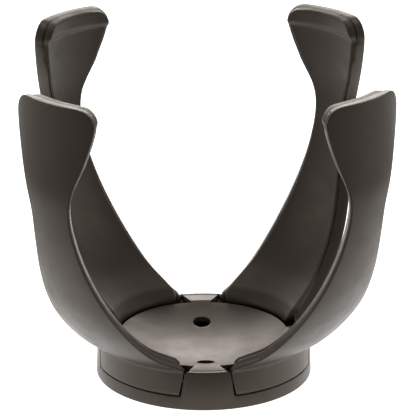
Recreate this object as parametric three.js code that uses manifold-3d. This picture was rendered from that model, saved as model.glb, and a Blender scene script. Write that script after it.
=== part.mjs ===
// Rod holder: a round, dished base with four cradle arms that swing in on friction hinges.
// Millimetres, +Z up. The origin is the centre of the foot pad's underside.
// The front upstand lies towards -Y and each arm stands on a diagonal.

import * as THREE from "three";
import { mergeVertices } from "three/addons/utils/BufferGeometryUtils.js";
import Module from "manifold-3d";

const wasm = await Module();
wasm.setup();

// ---------- driving dimensions ----------
const GAP = 0.3;                  // running gap between neighbouring pieces
const ROUND_STEPS = 64;           // sides of a full turn on the large round pieces

const FOOT_RADIUS = 38.3;         // outer wall at the floor
const WALL_TOP_RADIUS = 37.8;     // outer wall at the top of the upstands
const WALL_BOTTOM = 0.4;
const FLANGE_TOP = 5.2;           // continuous ring below the arms
const FLANGE_INNER_RADIUS = 34.4;
const UPSTAND_TOP = 14.3;
const FLOOR_UNDERSIDE = 1.3;
const FLOOR_TOP = 3.8;
const JOIN = 0.5;                 // how far joined bodies run into each other
const UPSTAND_INNER_RADIUS = 26.5;
const UPSTAND_LEDGE = 11.4;       // the upstands step down under the dish rim
const UPSTAND_LEDGE_INNER = 9.9;
const UPSTAND_EDGE = 0.8;         // bevel along the upstands' top edge
const HOLLOW_INNER_RADIUS = 32.3; // moulding hollow inside each upstand
const HOLLOW_OUTER_RADIUS = 35.2;
const HOLLOW_HALF_WIDTH = 3.4;

const DISH_RIM_RADIUS = 30.3;
const DISH_RIM_HEIGHT = 13.8;
const DISH_DEPTH = 5.5;
const DISH_WALL = 1.8;
const TAB_OUTER_RADIUS = 35.9;    // the dish plate's four tabs lie on the upstands
const TAB_WALL = 1.7;
const TAB_INNER_RADIUS = 27;      // where a tab runs out into the dish

const FIXING_HOLE_RADIUS = 3.2;
const FIXING_HOLE_OFFSET = 18.7;  // on the front-back line
const FIXING_BOSS_RADIUS = 5.2;

// An upstand's side faces: half its width at this radius and height, narrowing inwards and upwards.
const UPSTAND_HALF_WIDTH = 6.5;
const UPSTAND_REFERENCE_RADIUS = 36.4;
const UPSTAND_TAPER_IN = 0.489;
const UPSTAND_TAPER_UP = 0.307;
const SLIT = 1.0;                 // between an upstand and the arm beside it

const HINGE_RADIUS = 27.2;        // distance of each hinge pin from the centre line
const HINGE_HEIGHT = 7.6;
const PIN_RADIUS = 1.0;
const PIN_HALF_LENGTH = 21;
const PIN_HOLE_RADIUS = 1.3;
const BARREL_RADIUS = 2.4;
const BARREL_START = 10.4;        // each arm has a hinge barrel on both sides of its middle
const BARREL_END = 15.2;
const WASHER_RADIUS = 2.3;
const WASHER_THICKNESS = 0.6;
const CRADLE_START = BARREL_END + WASHER_THICKNESS + 2 * GAP;
const CRADLE_END = 21.6;
const CRADLE_OUTER_RADIUS = 33.7;
const CRADLE_HALF_DEPTH = 2.9;
const CRADLE_RISE = 2.4;          // above the pin's axis
const KNUCKLE_OUTER_RADIUS = 35.2;
const KNUCKLE_RISE = 1.6;

const REAR_ARM_LEAN = THREE.MathUtils.degToRad(3.3);  // the rear arms rest a little closed

// The arm, fully open: height, radius of the outer face on the arm's centre line, half width.
const ARM_STATIONS = [
  [15.0, 38.1, 19.4],
  [20.6, 48.0, 17.6],
  [29.3, 56.9, 15.9],
  [40.2, 64.5, 14.0],
  [53.2, 70.3, 11.2],
  [66.3, 73.9, 8.8],
  [78.2, 75.9, 8.1],
  [87.0, 76.8, 9.9],
  [98.9, 76.0, 14.6],
  [109.7, 75.4, 17.8],
  [117.0, 75.0, 18.0],
];
const ARM_TOP = 117;
const CORNER_START = 0.955;       // share of the arm where its rounded upper corners begin
const ARM_BOTTOM = FLANGE_TOP + GAP;
const ARM_CORNER_RADIUS = 6.5;
const ARM_BEND_RADIUS = 42;       // every level section of an arm is a slice of a round tube
const ARM_CORE = 3.2;             // thickness under the grip pad
const ARM_EDGE = 1.1;             // thickness at the edge, halfway up
const TIP_EDGE = 2.8;             // thickness at the edge of the tip
const ROOT_WALL = 3.4;
const ROOT_RADIUS = 36.5;         // middle of an arm's root wall
const BEVEL_WIDTH = 2.3;          // from the arm's edge to the side of the grip pad

const PAD_BOTTOM = 14.6;
const PAD_THICKNESS = 1.3;
const PAD_EDGE = 0.45;            // share of its thickness left along the pad's sides
const ROLL_THICKNESS = 2.7;       // thick roll across the top of each pad
const ROLL_HEIGHT = 6;

const PAD_RADIUS = 33.6;          // thin rubber pad under the housing
const PAD_HEIGHT = 1.0;

const SCREW_OFFSET = 19.5;        // four cover screws, on the diagonals
const SCREW_POST_RADIUS = 3.0;
const SCREW_RADIUS = 1.3;
const SCREW_HEAD_RADIUS = 2.6;
const SCREW_TOP = 8.0;
const RECESS_LENGTH = 1.6;        // half length and half width of the cross recess
const RECESS_WIDTH = 0.3;
const RECESS_TOP = 1.9;
const SCREW_SEAT = 2.8;           // the heads sit in pockets in the floor

// ---------- materials ----------
const moulded = () => new THREE.MeshStandardMaterial({ color: 0x45403b, roughness: 0.45, metalness: 0 });
const softGrip = () => new THREE.MeshStandardMaterial({ color: 0x3b3733, roughness: 0.7, metalness: 0 });
const steel = () => new THREE.MeshStandardMaterial({ color: 0xb9bcc0, roughness: 0.3, metalness: 1 });
const rubber = () => new THREE.MeshStandardMaterial({ color: 0x1c1c1c, roughness: 0.9, metalness: 0 });

// ---------- solids ----------
function solidOf(geometry) {
  const bare = geometry.clone();
  bare.deleteAttribute("normal");
  bare.deleteAttribute("uv");
  const welded = mergeVertices(bare, 1e-5);
  const mesh = new wasm.Mesh({
    numProp: 3,
    vertProperties: new Float32Array(welded.attributes.position.array),
    triVerts: new Uint32Array(welded.index.array),
  });
  return new wasm.Manifold(mesh);
}

function geometryOf(solid) {
  const mesh = solid.getMesh();
  const geometry = new THREE.BufferGeometry();
  geometry.setAttribute("position", new THREE.BufferAttribute(new Float32Array(mesh.vertProperties), 3));
  geometry.setIndex(new THREE.BufferAttribute(new Uint32Array(mesh.triVerts), 1));
  geometry.computeVertexNormals();
  return geometry;
}

// A solid of revolution about Z. The profile lists [radius, height], anticlockwise, closed.
function turned(profile, steps = ROUND_STEPS) {
  const points = [...profile, profile[0]].map(([radius, height]) => new THREE.Vector2(radius, height));
  const geometry = new THREE.LatheGeometry(points, steps);
  geometry.rotateX(Math.PI / 2);
  return solidOf(geometry);
}

function disc(radius, bottom, top, steps = ROUND_STEPS) {
  const geometry = new THREE.CylinderGeometry(radius, radius, top - bottom, steps);
  geometry.rotateX(Math.PI / 2);
  geometry.translate(0, 0, (top + bottom) / 2);
  return solidOf(geometry);
}

// A cylinder along Y, for pins and hinge barrels.
function rod(radius, start, end, steps = 16) {
  const geometry = new THREE.CylinderGeometry(radius, radius, end - start, steps);
  geometry.translate(0, (start + end) / 2, 0);
  return geometry;
}

function block(xMin, xMax, yMin, yMax, zMin, zMax) {
  const geometry = new THREE.BoxGeometry(xMax - xMin, yMax - yMin, zMax - zMin);
  geometry.translate((xMin + xMax) / 2, (yMin + yMax) / 2, (zMin + zMax) / 2);
  return solidOf(geometry);
}

// A box whose two side faces follow an upstand's sides, grown sideways by an offset.
// It stands across +X, between two radii and two heights.
function upstandBlock(innerRadius, outerRadius, bottom, top, offset = 0) {
  const geometry = new THREE.BoxGeometry(outerRadius - innerRadius, 2, top - bottom);
  geometry.translate((innerRadius + outerRadius) / 2, 0, (bottom + top) / 2);
  const position = geometry.attributes.position;
  for (let i = 0; i < position.count; i += 1) {
    const halfWidth = UPSTAND_HALF_WIDTH + offset
      + UPSTAND_TAPER_IN * (position.getX(i) - UPSTAND_REFERENCE_RADIUS)
      + UPSTAND_TAPER_UP * (UPSTAND_TOP - position.getZ(i));
    position.setY(i, position.getY(i) * halfWidth);
  }
  return solidOf(geometry);
}

const spun = (solid, degrees) => solid.rotate([0, 0, degrees]);
const union = (solids) => solids.reduce((whole, next) => whole.add(next));
const fourTimes = (solid, first) => union([0, 90, 180, 270].map((turn) => spun(solid, first + turn)));

// ---------- base ----------
function wallRadius(height) {
  return FOOT_RADIUS + (WALL_TOP_RADIUS - FOOT_RADIUS) * (height / UPSTAND_TOP);
}

// Upright plates that carry the pin ends, one on each side of an arm's hinge; the arm lies along +X.
function hingeCradles() {
  const inner = HINGE_RADIUS - CRADLE_HALF_DEPTH;
  const outer = HINGE_RADIUS + CRADLE_HALF_DEPTH;
  const top = HINGE_HEIGHT + CRADLE_RISE;
  return union([-1, 1].map((side) => {
    const near = Math.min(side * CRADLE_START, side * CRADLE_END);
    return block(inner, outer, near, near + CRADLE_END - CRADLE_START, FLOOR_TOP - JOIN, top);
  }));
}

// The slot that a pin drops into from above, rounded at the bottom.
function pinSlot() {
  const length = PIN_HALF_LENGTH + GAP;
  const round = solidOf(rod(PIN_HOLE_RADIUS, -length, length))
    .translate([HINGE_RADIUS, 0, HINGE_HEIGHT]);
  const above = block(HINGE_RADIUS - PIN_HOLE_RADIUS, HINGE_RADIUS + PIN_HOLE_RADIUS,
    -length, length, HINGE_HEIGHT, UPSTAND_TOP - TAB_WALL - GAP);
  return round.add(above);
}

function housing() {
  const tabSeat = UPSTAND_TOP - TAB_WALL - GAP;
  const ring = turned([
    [FLANGE_INNER_RADIUS, WALL_BOTTOM], [FOOT_RADIUS, WALL_BOTTOM],
    [wallRadius(FLANGE_TOP), FLANGE_TOP], [FLANGE_INNER_RADIUS, FLANGE_TOP],
  ]);
  const floor = disc(FLANGE_INNER_RADIUS + JOIN, FLOOR_UNDERSIDE, FLOOR_TOP);
  const wall = turned([
    [UPSTAND_INNER_RADIUS, FLOOR_TOP - JOIN], [wallRadius(FLOOR_TOP), FLOOR_TOP - JOIN],
    [WALL_TOP_RADIUS, UPSTAND_TOP - UPSTAND_EDGE], [WALL_TOP_RADIUS - UPSTAND_EDGE, UPSTAND_TOP],
    [TAB_OUTER_RADIUS + GAP, UPSTAND_TOP], [TAB_OUTER_RADIUS + GAP, tabSeat],
    [DISH_RIM_RADIUS + GAP, tabSeat], [DISH_RIM_RADIUS + GAP, UPSTAND_LEDGE],
    [UPSTAND_INNER_RADIUS, UPSTAND_LEDGE_INNER],
  ]);
  const upstands = wall.intersect(fourTimes(upstandBlock(26, 40, 0, 16), 0));
  const hollows = fourTimes(block(HOLLOW_INNER_RADIUS, HOLLOW_OUTER_RADIUS,
    -HOLLOW_HALF_WIDTH, HOLLOW_HALF_WIDTH, 0, HINGE_HEIGHT + 2), 0);
  const bossTop = dishUnderside(FIXING_HOLE_OFFSET - FIXING_BOSS_RADIUS) - GAP;
  const boss = disc(FIXING_BOSS_RADIUS, FLOOR_TOP - JOIN, bossTop, 24);
  const bosses = union([-1, 1].map((side) => boss.translate([0, side * FIXING_HOLE_OFFSET, 0])));
  const screwHole = disc(SCREW_RADIUS + GAP, 0, FLOOR_TOP + 1, 12);
  const pocket = disc(SCREW_HEAD_RADIUS + GAP, 0, SCREW_SEAT, 16);
  const screwWays = fourTimes(screwHole.add(pocket).translate([SCREW_OFFSET, 0, 0]), 45);
  const cradles = fourTimes(hingeCradles(), 45).intersect(disc(CRADLE_OUTER_RADIUS, 0, 20));
  return ring.add(floor).add(upstands).add(bosses).add(cradles)
    .subtract(fourTimes(pinSlot(), 45))
    .subtract(hollows).subtract(screwWays).subtract(fixingHoles());
}

function dishSurface(radius) {
  return DISH_RIM_HEIGHT - DISH_DEPTH + DISH_DEPTH * (radius / DISH_RIM_RADIUS) ** 2;
}

function dishUnderside(radius) {
  return dishSurface(radius) - DISH_WALL;
}

function fixingHoles() {
  const hole = disc(FIXING_HOLE_RADIUS, -1, 20, 20);
  return hole.translate([0, FIXING_HOLE_OFFSET, 0]).add(hole.translate([0, -FIXING_HOLE_OFFSET, 0]));
}

function dishPlate() {
  const ring = (height) => (share) => [share * DISH_RIM_RADIUS, height(share * DISH_RIM_RADIUS)];
  const under = [0, 0.5, 1].map(ring(dishUnderside));
  const over = [1, 0.85, 0.65, 0.4, 0].map(ring(dishSurface));
  const dish = turned([...under, ...over]);
  const tabRing = turned([
    [TAB_INNER_RADIUS, dishUnderside(TAB_INNER_RADIUS) + DISH_WALL / 2],
    [DISH_RIM_RADIUS - GAP, UPSTAND_TOP - TAB_WALL], [TAB_OUTER_RADIUS, UPSTAND_TOP - TAB_WALL],
    [TAB_OUTER_RADIUS, UPSTAND_TOP], [DISH_RIM_RADIUS - 0.9, UPSTAND_TOP],
    [TAB_INNER_RADIUS, dishSurface(TAB_INNER_RADIUS) - 0.2],
  ]);
  const tabs = tabRing.intersect(fourTimes(upstandBlock(26, 40, 10, 16), 0));
  const post = disc(SCREW_POST_RADIUS, FLOOR_TOP + GAP, dishSurface(SCREW_OFFSET) - 1, 16);
  const pilot = disc(SCREW_RADIUS + GAP, 0, SCREW_TOP + GAP, 12);
  return dish.add(tabs).add(fourTimes(post.translate([SCREW_OFFSET, 0, 0]), 45))
    .subtract(fourTimes(pilot.translate([SCREW_OFFSET, 0, 0]), 45))
    .subtract(fixingHoles());
}

// ---------- arms ----------
const armCurve = new THREE.CatmullRomCurve3(
  ARM_STATIONS.map(([height, radius, halfWidth]) => new THREE.Vector3(radius, halfWidth, height)),
  false, "centripetal",
);

// Place, half width and outward direction of the outer face at one row of the arm.
function sweepRow(share) {
  const point = armCurve.getPoint(share);
  const tangent = armCurve.getTangent(share);
  const length = Math.hypot(tangent.x, tangent.z);
  const reach = ARM_TOP - point.z;
  let halfWidth = point.y;
  if (reach < ARM_CORNER_RADIUS) {
    const rise = ARM_CORNER_RADIUS - reach;
    halfWidth -= ARM_CORNER_RADIUS - Math.sqrt(ARM_CORNER_RADIUS ** 2 - rise ** 2);
  }
  return {
    radius: point.x, height: point.z, halfWidth: halfWidth,
    bend: THREE.MathUtils.lerp(WALL_TOP_RADIUS, ARM_BEND_RADIUS, smooth(15, 30, point.z)),
    out: tangent.z / length, down: -tangent.x / length,
  };
}

function rootRow(height) {
  const radius = wallRadius(height);
  return { radius: radius, height: height, halfWidth: 22, bend: radius, out: 1, down: 0 };
}

// A closed shell from rows of cross-sections: near and far give the two skins' points.
function lofted(rows, columns, near, far) {
  const positions = [];
  const index = [];
  const width = columns.length;
  for (const skin of [near, far]) {
    for (const row of rows) {
      for (const column of columns) positions.push(...skin(row, column));
    }
  }
  const at = (skin, row, column) => (skin * rows.length + row) * width + column;
  const quad = (a, b, c, d) => index.push(a, b, c, a, c, d);
  for (let r = 0; r < rows.length - 1; r += 1) {
    for (let c = 0; c < width - 1; c += 1) {
      quad(at(0, r, c), at(0, r, c + 1), at(0, r + 1, c + 1), at(0, r + 1, c));
      quad(at(1, r, c), at(1, r + 1, c), at(1, r + 1, c + 1), at(1, r, c + 1));
    }
    quad(at(0, r, 0), at(0, r + 1, 0), at(1, r + 1, 0), at(1, r, 0));
    quad(at(0, r, width - 1), at(1, r, width - 1), at(1, r + 1, width - 1), at(0, r + 1, width - 1));
  }
  const last = rows.length - 1;
  for (let c = 0; c < width - 1; c += 1) {
    quad(at(0, 0, c), at(1, 0, c), at(1, 0, c + 1), at(0, 0, c + 1));
    quad(at(0, last, c), at(0, last, c + 1), at(1, last, c + 1), at(1, last, c));
  }
  const geometry = new THREE.BufferGeometry();
  geometry.setAttribute("position", new THREE.Float32BufferAttribute(positions, 3));
  geometry.setIndex(index);
  return geometry;
}

// A point of an arm's row: across is the distance from its centre line, depth is below the outer face.
function armPoint(row, across, depth) {
  const bulge = row.bend - Math.sqrt(row.bend ** 2 - across ** 2);
  return [row.radius - bulge - row.out * depth, across, row.height - row.down * depth];
}

const BEVEL_COLUMN = 0.82;
const COLUMNS = [-1, -BEVEL_COLUMN, -0.4, 0, 0.4, BEVEL_COLUMN, 1];
const ARM_ROWS = 16;

// Across an arm the outer columns lie on its edges and the next ones at the foot of the bevel.
function acrossArm(row, column) {
  const flat = row.halfWidth - BEVEL_WIDTH;
  if (Math.abs(column) === 1) return column * row.halfWidth;
  return (column / BEVEL_COLUMN) * flat;
}

function smooth(low, high, value) {
  return THREE.MathUtils.smoothstep(value, low, high);
}

function armRows() {
  const rows = [ARM_BOTTOM, 10, 13.6].map(rootRow);
  for (let i = 0; i <= ARM_ROWS; i += 1) {
    rows.push(sweepRow(CORNER_START * i / ARM_ROWS));
  }
  rows.push(sweepRow(0.975), sweepRow(0.992), sweepRow(1));
  return rows;
}

function coreOf(row) {
  return THREE.MathUtils.lerp(ROOT_WALL, ARM_CORE, smooth(15, 30, row.height));
}

function armShell() {
  const depthOf = (row, column) => {
    const edge = THREE.MathUtils.lerp(ARM_EDGE, TIP_EDGE, smooth(84, 104, row.height));
    const lowEdge = THREE.MathUtils.lerp(ROOT_WALL, edge, smooth(15, 36, row.height));
    return Math.abs(column) === 1 ? lowEdge : coreOf(row);
  };
  return solidOf(lofted(armRows(), COLUMNS,
    (row, column) => armPoint(row, acrossArm(row, column), 0),
    (row, column) => armPoint(row, acrossArm(row, column), depthOf(row, column))));
}

function armKnuckles() {
  return union([-1, 1].map((side) => {
    const near = Math.min(side * BARREL_START, side * BARREL_END);
    const far = near + BARREL_END - BARREL_START;
    const barrel = solidOf(rod(BARREL_RADIUS, near, far)).translate([HINGE_RADIUS, 0, HINGE_HEIGHT]);
    const top = HINGE_HEIGHT + KNUCKLE_RISE;
    const web = block(HINGE_RADIUS, KNUCKLE_OUTER_RADIUS, near, far, ARM_BOTTOM + 0.4, top)
      .intersect(disc(ROOT_RADIUS, 0, 20));
    return barrel.add(web);
  }));
}

function arm() {
  const hole = solidOf(rod(PIN_HOLE_RADIUS, -20, 20)).translate([HINGE_RADIUS, 0, HINGE_HEIGHT]);
  const clearance = upstandBlock(24, 46, 0, UPSTAND_TOP + SLIT, SLIT * 1.1);
  const sides = spun(clearance, -45).add(spun(clearance, 45));
  return armShell().subtract(sides).add(armKnuckles()).subtract(hole);
}

// The grip pad follows the arm's inner face and ends in a thick roll at the top.
function gripPad() {
  const rows = [{ ...rootRow(PAD_BOTTOM), halfWidth: 19 }];
  for (let i = 0; i <= ARM_ROWS; i += 1) {
    rows.push(sweepRow(CORNER_START * i / ARM_ROWS));
  }
  rows.push(sweepRow(0.97), sweepRow(0.985), sweepRow(1));
  const first = rows[0].height;
  const across = (row, column) => {
    const endRound = THREE.MathUtils.lerp(0.86, 1, smooth(first, first + 6, row.height));
    return column * (row.halfWidth - BEVEL_WIDTH - GAP) * endRound;
  };
  const depth = (row, column) => {
    const rise = smooth(ARM_TOP - 2 * ROLL_HEIGHT, ARM_TOP - ROLL_HEIGHT * 0.6, row.height);
    const roll = Math.sin(Math.PI * 0.5 * rise);
    const full = THREE.MathUtils.lerp(PAD_THICKNESS, ROLL_THICKNESS, roll);
    return coreOf(row) + GAP + (Math.abs(column) === 1 ? full * PAD_EDGE : full);
  };
  return solidOf(lofted(rows, COLUMNS,
    (row, column) => armPoint(row, across(row, column), coreOf(row) + GAP),
    (row, column) => armPoint(row, across(row, column), depth(row, column))));
}

// ---------- small pieces ----------
function hingePin() {
  return solidOf(rod(PIN_RADIUS, -PIN_HALF_LENGTH, PIN_HALF_LENGTH, 16));
}

function washer() {
  return solidOf(rod(WASHER_RADIUS, 0, WASHER_THICKNESS, 16))
    .subtract(solidOf(rod(PIN_RADIUS + GAP, -1, 2, 12)));
}

function coverScrew() {
  const head = disc(SCREW_HEAD_RADIUS, FLOOR_UNDERSIDE + 0.1, SCREW_SEAT - GAP, 16);
  const shank = disc(SCREW_RADIUS, SCREW_SEAT - GAP - 0.1, SCREW_TOP, 12);
  const recess = block(-RECESS_LENGTH, RECESS_LENGTH, -RECESS_WIDTH, RECESS_WIDTH, 0, RECESS_TOP);
  return head.add(shank).subtract(recess).subtract(spun(recess, 90));
}

function footPad() {
  return disc(PAD_RADIUS, 0, PAD_HEIGHT, 48).subtract(fixingHoles());
}

// ---------- assembly ----------
const holder = new THREE.Group();

function piece(name, solid, material, parent = holder) {
  const mesh = new THREE.Mesh(geometryOf(solid), material);
  mesh.name = name;
  parent.add(mesh);
  return mesh;
}

piece("base_housing", housing(), moulded());
piece("dish_plate", dishPlate(), moulded());
piece("foot_pad", footPad(), rubber());

const ARM_PLACES = [
  ["front_right", -45, 0],
  ["back_right", 45, REAR_ARM_LEAN],
  ["back_left", 135, REAR_ARM_LEAN],
  ["front_left", 225, 0],
];

const armSolid = arm();
const padSolid = gripPad();
const pinSolid = hingePin();
const washerSolid = washer();
const screwSolid = coverScrew();

for (const [place, azimuth, lean] of ARM_PLACES) {
  const corner = new THREE.Group();
  corner.rotation.z = THREE.MathUtils.degToRad(azimuth);
  holder.add(corner);

  // The swinging group turns about the pin and is drawn around the pin's own axis.
  const swing = new THREE.Group();
  swing.position.set(HINGE_RADIUS, 0, HINGE_HEIGHT);
  swing.rotation.y = -lean;
  corner.add(swing);
  const armMesh = piece(`arm_${place}`, armSolid, moulded(), swing);
  armMesh.position.set(-HINGE_RADIUS, 0, -HINGE_HEIGHT);
  const padMesh = piece(`grip_pad_${place}`, padSolid, softGrip(), swing);
  padMesh.position.set(-HINGE_RADIUS, 0, -HINGE_HEIGHT);

  const pin = piece(`hinge_pin_${place}`, pinSolid, steel(), corner);
  pin.position.set(HINGE_RADIUS, 0, HINGE_HEIGHT);
  [["a", -BARREL_END - GAP - WASHER_THICKNESS], ["b", BARREL_END + GAP]].forEach(([mark, start]) => {
    const ring = piece(`friction_washer_${place}_${mark}`, washerSolid, steel(), corner);
    ring.position.set(HINGE_RADIUS, start, HINGE_HEIGHT);
  });

  const screw = piece(`cover_screw_${place}`, screwSolid, steel(), corner);
  screw.position.set(SCREW_OFFSET, 0, 0);
}

export default holder;
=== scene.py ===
import math

import bpy
from mathutils import Matrix, Vector


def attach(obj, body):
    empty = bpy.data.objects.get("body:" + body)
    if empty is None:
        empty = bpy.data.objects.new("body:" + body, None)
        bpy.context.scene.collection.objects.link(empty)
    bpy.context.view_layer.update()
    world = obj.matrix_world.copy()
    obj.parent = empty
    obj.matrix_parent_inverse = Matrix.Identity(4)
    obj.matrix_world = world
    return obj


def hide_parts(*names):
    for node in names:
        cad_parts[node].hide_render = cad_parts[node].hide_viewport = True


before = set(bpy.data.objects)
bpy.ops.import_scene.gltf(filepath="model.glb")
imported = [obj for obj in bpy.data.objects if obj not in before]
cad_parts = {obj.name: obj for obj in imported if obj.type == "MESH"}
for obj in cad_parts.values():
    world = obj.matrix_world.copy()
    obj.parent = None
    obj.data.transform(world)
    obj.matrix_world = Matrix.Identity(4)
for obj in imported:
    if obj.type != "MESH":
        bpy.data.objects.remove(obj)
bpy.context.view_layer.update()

bl_info = {
    "name": "Rod holder",
    "version": (1, 0, 0),
    "blender": (4, 5, 0),
    "location": "View3D > Sidebar > Rod holder",
    "description": "Models the cradle rod holder's visible pieces around its packed frame",
    "category": "Object",
}

MM = 0.001
ROUND = 128                       # sides of a full turn on the large round pieces

# Where each arm stands: its azimuth and how far it rests closed, in degrees.
ARM_PLACES = {
    "front_right": (-45.0, 0.0),
    "back_right": (45.0, 3.3),
    "back_left": (135.0, 3.3),
    "front_left": (225.0, 0.0),
}

# The open arm's outer face: height, radius on the arm's centre line, half width, in millimetres.
ARM_STATIONS = (
    (15.0, 38.1, 19.2),
    (20.6, 47.6, 18.4),
    (29.3, 56.4, 17.1),
    (40.2, 64.1, 15.2),
    (53.2, 69.9, 12.3),
    (66.3, 73.6, 9.8),
    (78.2, 75.8, 8.9),
    (87.0, 76.8, 10.5),
    (98.9, 76.0, 14.9),
    (109.7, 75.4, 17.8),
    (117.0, 75.0, 18.0),
)

# An upstand's side face: a point on it and its outward normal, for an upstand along +X.
UPSTAND_TOP = 14.3                # in millimetres
UPSTAND_HALF_WIDTH = 7.6          # at the top of the outer wall, in millimetres
UPSTAND_FLARE = 0.17              # how much wider it grows per millimetre downwards
UPSTAND_SIDE_POINT = Vector((36.4, UPSTAND_HALF_WIDTH, UPSTAND_TOP)) * MM
UPSTAND_SIDE_NORMAL = Vector((-0.489, 1.0, UPSTAND_FLARE)).normalized()
UPSTAND_CORNER = 1.1 * MM         # rounding of the upstands' upper corners

# The housing's inside, in millimetres.
FOOT_EDGE = 0.4                   # lower edge of the outer ring above the table
FLOOR_UNDERSIDE = 1.3
SEAT_DEPTH = 2.0                  # the upstands' tops down to the seat of the dish plate's tabs
FIT_GAP = 0.3                     # around the dish plate
LEDGE_HEIGHT = 11.4               # under the dish's rim
WELL_RADIUS, WELL_EDGE = 26.5, 9.9
GAP_INNER, GAP_OUTER, GAP_TOP = 25.0, 44.0, 20.0      # the cutter between two upstands
BOSS_RADIUS, BOSS_TOP = 5.2, 7.4
POST_RADIUS, POST_OFFSET = 3.0, 19.5
POST_BOTTOM, POST_TOP = 4.1, 9.0
FOOT_PAD_RADIUS, FOOT_PAD_HEIGHT = 33.6, 1.0
FOOT_PAD_RINGS = (10.0, 24.5, 30.0)

# The hinge parts, in millimetres. The pairs are distances outwards from the middle of the pin.
PIN_RADIUS, PIN_REACH = 1.0, 21.0
BORE_RADIUS = 1.3                 # bores and slots for the pin
SLOT_REACH = 21.3
CRADLE_FACES = (16.4, 21.6)
CRADLE_LIMIT = 33.7
BARREL_RADIUS, BARREL_FACES = 2.4, (10.4, 15.2)
WEB_LIMIT = 36.2
WASHER_RADIUS, WASHER_FACES = 2.3, (15.5, 16.1)
BORE_SIDES = 32

# Heights between which the arm's section changes, in millimetres.
ROOT_BLEND = (15.0, 30.0)         # from the root to the free arm
ROOT_EDGE_BLEND = (12.6, 15.5)
FLARE_BLEND = (82.0, 98.0)
TIP_EDGE_BLEND = (80.0, 104.0)
ROLL_BLEND = (-4.5, 0.6)          # about the lower edge of the roll

# Rows of the arm's outer face, in millimetres.
ROOT_RADIUS, ROOT_BEND = 38.1, 38.5
ROOT_ROWS = (5.5, 7.0, 9.0, 11.0, 12.6, 13.4, 14.0)
SHOULDER_ROWS = ((14.5, 38.05, 19.95, 38.0), (14.95, 38.5, 19.75, 38.1), (15.5, 39.25, 19.4, 38.3))
RISE_START, RISE_ROWS = 16.4, 38
FINE_BAND, FINE_ROWS = 6.0, 10    # closer rows below the upper corners
CORNER_ANGLES = (0, 6, 12, 18, 25, 32, 40, 49, 59, 70, 90)

ARM_THICKEST, PAD_THICKEST = 4.5, 4.0     # no wall is thicker, in millimetres
ARM_ROUNDING = 0.38 * MM
INNER_SOFTNESS = 0.3              # share of the rounding on the arm's inner edges
PAD_GAP = 0.12 * MM               # between the pad's back and the arm
PAD_CORNER = 1.0
PAD_ROUNDING, ROLL_ROUNDING = 1.1, 1.8
PAD_SIDE, ROLL_SIDE = 0.3, 1.6    # thickness at the very edge
PAD_MARGIN_AT_ROOT, PAD_MARGIN_AT_ROLL = 0.4, 0.2     # shares of the land beside the pad

MERGE = 1e-6                      # distances for merging points, in metres
CLEAN_MERGE = 2e-6

# Spread of a noise texture's values.
NOISE_LOW, NOISE_HIGH = 0.3, 0.7
PLASTIC_TINT = (1.0, 0.87, 0.76, 1.0)

# The studio, in metres and watts: place, aim, size and power of each lamp.
LAMPS = {
    "back_light": ((0.0, 1.6, 0.68), (0.0, 0.0, 0.06), (2.4, 0.95), 29.0),
    "left_light": ((-1.3, 0.1, 0.45), (0.0, 0.0, 0.05), (0.9, 0.6), 5.0),
    "right_light": ((1.3, 0.1, 0.45), (0.0, 0.0, 0.05), (0.9, 0.6), 5.0),
    "top_light": ((0.0, 0.1, 1.5), (0.0, 0.0, 0.0), (1.0, 1.0), 6.0),
}
LAMP_COLOUR = (1.0, 0.94, 0.87)
SKY_STRENGTH = 0.3
FLOOR_SIZE, FLOOR_LEVEL = 6.0, -0.0002    # the floor lies a hair under the foot disc
# The floor glows: a pool of painted light behind the base (FLOOR_GLOW) and a painted shadow in front
# of it (FLOOR_SHADE); each is middle, radii, blend, outside and inside strength.
FLOOR_GLOW = ((0.0, 0.25), (0.36, 0.52), 0.45, 0.05, 1.3)
FLOOR_SHADE = ((0.0, -0.15), (0.18, 0.105), 0.3, 1.0, 0.08)

CAMERA_ELEVATION, CAMERA_AZIMUTH = 19.714, -2.172     # degrees
CAMERA_HEIGHT, CAMERA_SHIFT, CAMERA_DISTANCE = 61.066, 1.523, 1002.1      # millimetres
CAMERA_LENS = 247.23


# ---------- sizes and colours ----------
def length(name, description, millimetres):
    return bpy.props.FloatProperty(
        name=name, description=description, default=millimetres * MM,
        unit="LENGTH", subtype="DISTANCE")


def colour(name, description, rgb):
    return bpy.props.FloatVectorProperty(
        name=name, description=description, default=rgb,
        size=3, min=0.0, max=1.0, subtype="COLOR")


class HolderBaseSizes(bpy.types.PropertyGroup):
    """Sizes of the round base"""
    foot_radius: length("Foot radius", "Outer wall at the floor", 38.3)
    wall_radius: length("Wall radius", "Outer wall at the top of the upstands", 37.8)
    flange_height: length("Flange height", "Top of the continuous ring under the arms", 5.2)
    flange_inner: length("Flange inner radius", "Inside of the continuous ring", 34.4)
    upstand_height: length("Upstand height", "Top of the four upstands", UPSTAND_TOP)
    floor_top: length("Floor top", "Upper face of the housing's floor", 3.8)
    dish_radius: length("Dish radius", "Rim of the dished seat", 30.3)
    dish_height: length("Dish height", "Rim of the dished seat above the table", 13.8)
    dish_depth: length("Dish depth", "Rim to the middle of the dish", 5.5)
    dish_wall: length("Dish wall", "Thickness of the dish", 1.8)
    tab_radius: length("Tab radius", "Outer end of the dish plate's tabs", 35.9)
    tab_inset: length("Tab inset", "How much narrower a tab is than its upstand, on each side", 0.8)
    hole_radius: length("Hole radius", "The two fixing holes", 3.2)
    hole_offset: length("Hole offset", "Fixing holes from the middle", 18.7)
    edge: length("Edge rounding", "Rounding of the base's moulded edges", 0.35)


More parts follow.
